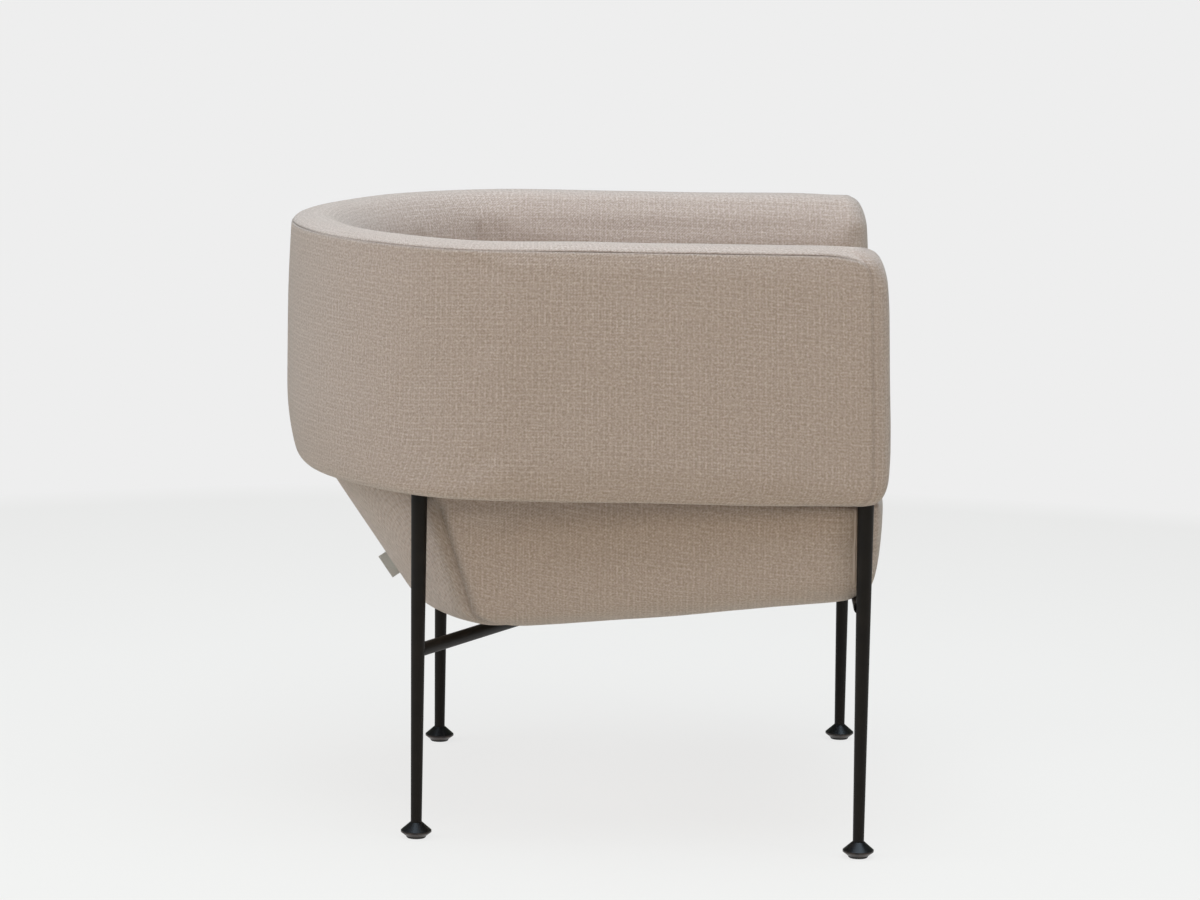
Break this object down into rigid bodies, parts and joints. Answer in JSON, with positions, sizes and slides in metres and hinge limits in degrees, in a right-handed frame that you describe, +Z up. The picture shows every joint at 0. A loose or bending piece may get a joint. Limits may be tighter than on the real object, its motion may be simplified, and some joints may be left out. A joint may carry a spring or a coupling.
{
  "type": "lounge chair",
  "caption": "Low upholstered lounge chair: a curved padded shell forms back and arms around a thick seat, on slim tapered black steel legs with turned feet.",
  "frame": {"origin": "on the floor, under the middle of the chair's box", "axes": "+Z up, -Y towards the front of the chair, +X towards the sitter's left arm"},
  "size_m": [0.7, 0.7144, 0.705],
  "materials": {
    "black_steel": "satin black powder coat",
    "black_foot": "satin black powder coat on turned steel",
    "glide_plastic": "matte black plastic",
    "zinc_steel": "zinc plated",
    "plywood": "raw plywood",
    "foam": "cut foam",
    "wadding": "white wadding",
    "belt_webbing": "elastic webbing",
    "cover_fabric": "fine woven wool in greige",
    "tag_fabric": "plain grey tape"
  },
  "bodies": {
    "root": {"brace_hub": "black_steel", "crossbar_screws": "zinc_steel", "front_crossbar": "black_steel", "left_front_foot": "black_foot", "left_front_glide": "glide_plastic", "left_front_leg": "black_steel", "left_rear_brace": "black_steel", "left_rear_foot": "black_foot", "left_rear_glide": "glide_plastic", "left_rear_leg": "black_steel", "leg_inserts": "zinc_steel", "leg_studs": "zinc_steel", "plate_screws": "zinc_steel", "rear_tag": "tag_fabric", "right_front_foot": "black_foot", "right_front_glide": "glide_plastic", "right_front_leg": "black_steel", "right_rear_brace": "black_steel", "right_rear_foot": "black_foot", "right_rear_glide": "glide_plastic", "right_rear_leg": "black_steel", "seat_base_panel": "plywood", "seat_belts": "belt_webbing", "seat_dust_cover": "cover_fabric", "seat_foam": "foam", "seat_front_rail": "plywood", "seat_left_cover": "cover_fabric", "seat_left_rail": "plywood", "seat_plate": "black_steel", "seat_rear_cover": "cover_fabric", "seat_rear_rail": "plywood", "seat_right_cover": "cover_fabric", "seat_right_rail": "plywood", "seat_top_cover": "cover_fabric", "seat_wadding_wrap": "wadding", "shell_inner_board": "plywood", "shell_inner_cover": "cover_fabric", "shell_inner_padding": "foam", "shell_lower_rail": "plywood", "shell_outer_board": "plywood", "shell_outer_cover": "cover_fabric", "shell_outer_padding": "wadding", "shell_upper_rail": "plywood", "shell_uprights": "plywood"}
  },
  "joints": []
}
